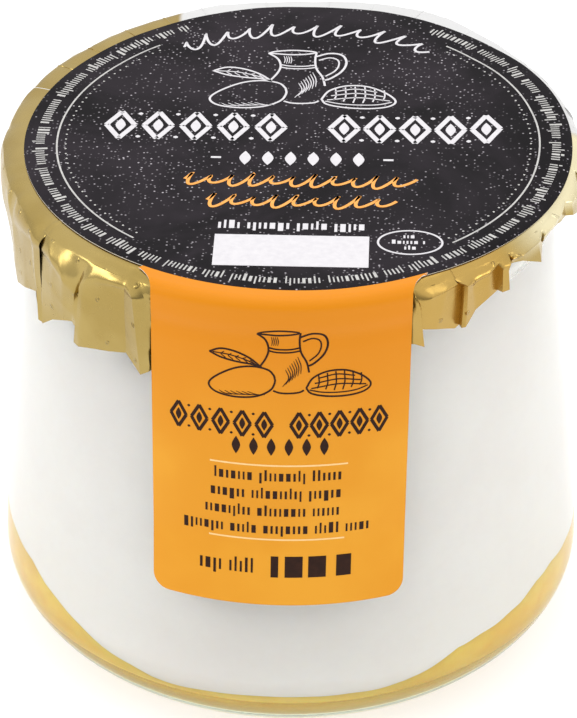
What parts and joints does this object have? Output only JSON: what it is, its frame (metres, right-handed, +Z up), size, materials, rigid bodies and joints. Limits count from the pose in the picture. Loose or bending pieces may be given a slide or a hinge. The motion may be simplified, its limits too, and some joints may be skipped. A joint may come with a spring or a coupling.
{
  "type": "panna cotta in a glass pot",
  "caption": "Set cream dessert on a mango layer in a round glass pot, sealed with a crimped foil lid and a paper sticker that folds down the front.",
  "frame": {"origin": "centre of the pot's foot, on the surface it stands on", "axes": "+Z up along the pot's axis, -Y towards the side where the sticker's tab hangs"},
  "size_m": [0.066, 0.066, 0.0584],
  "materials": {
    "glass": "clear moulded glass, thick in the base",
    "cream": "smooth white set cream, faintly translucent",
    "mango": "yellow-orange set fruit purée, slightly cloudy",
    "foil": "pale gold embossed foil, creased where it is crimped",
    "paper": "coated paper sticker, charcoal round part and amber tab"
  },
  "bodies": {
    "root": {"glass_pot": "glass", "panna_cotta": "cream", "mango_layer": "mango", "foil_lid": "foil", "label": "paper"}
  },
  "joints": []
}
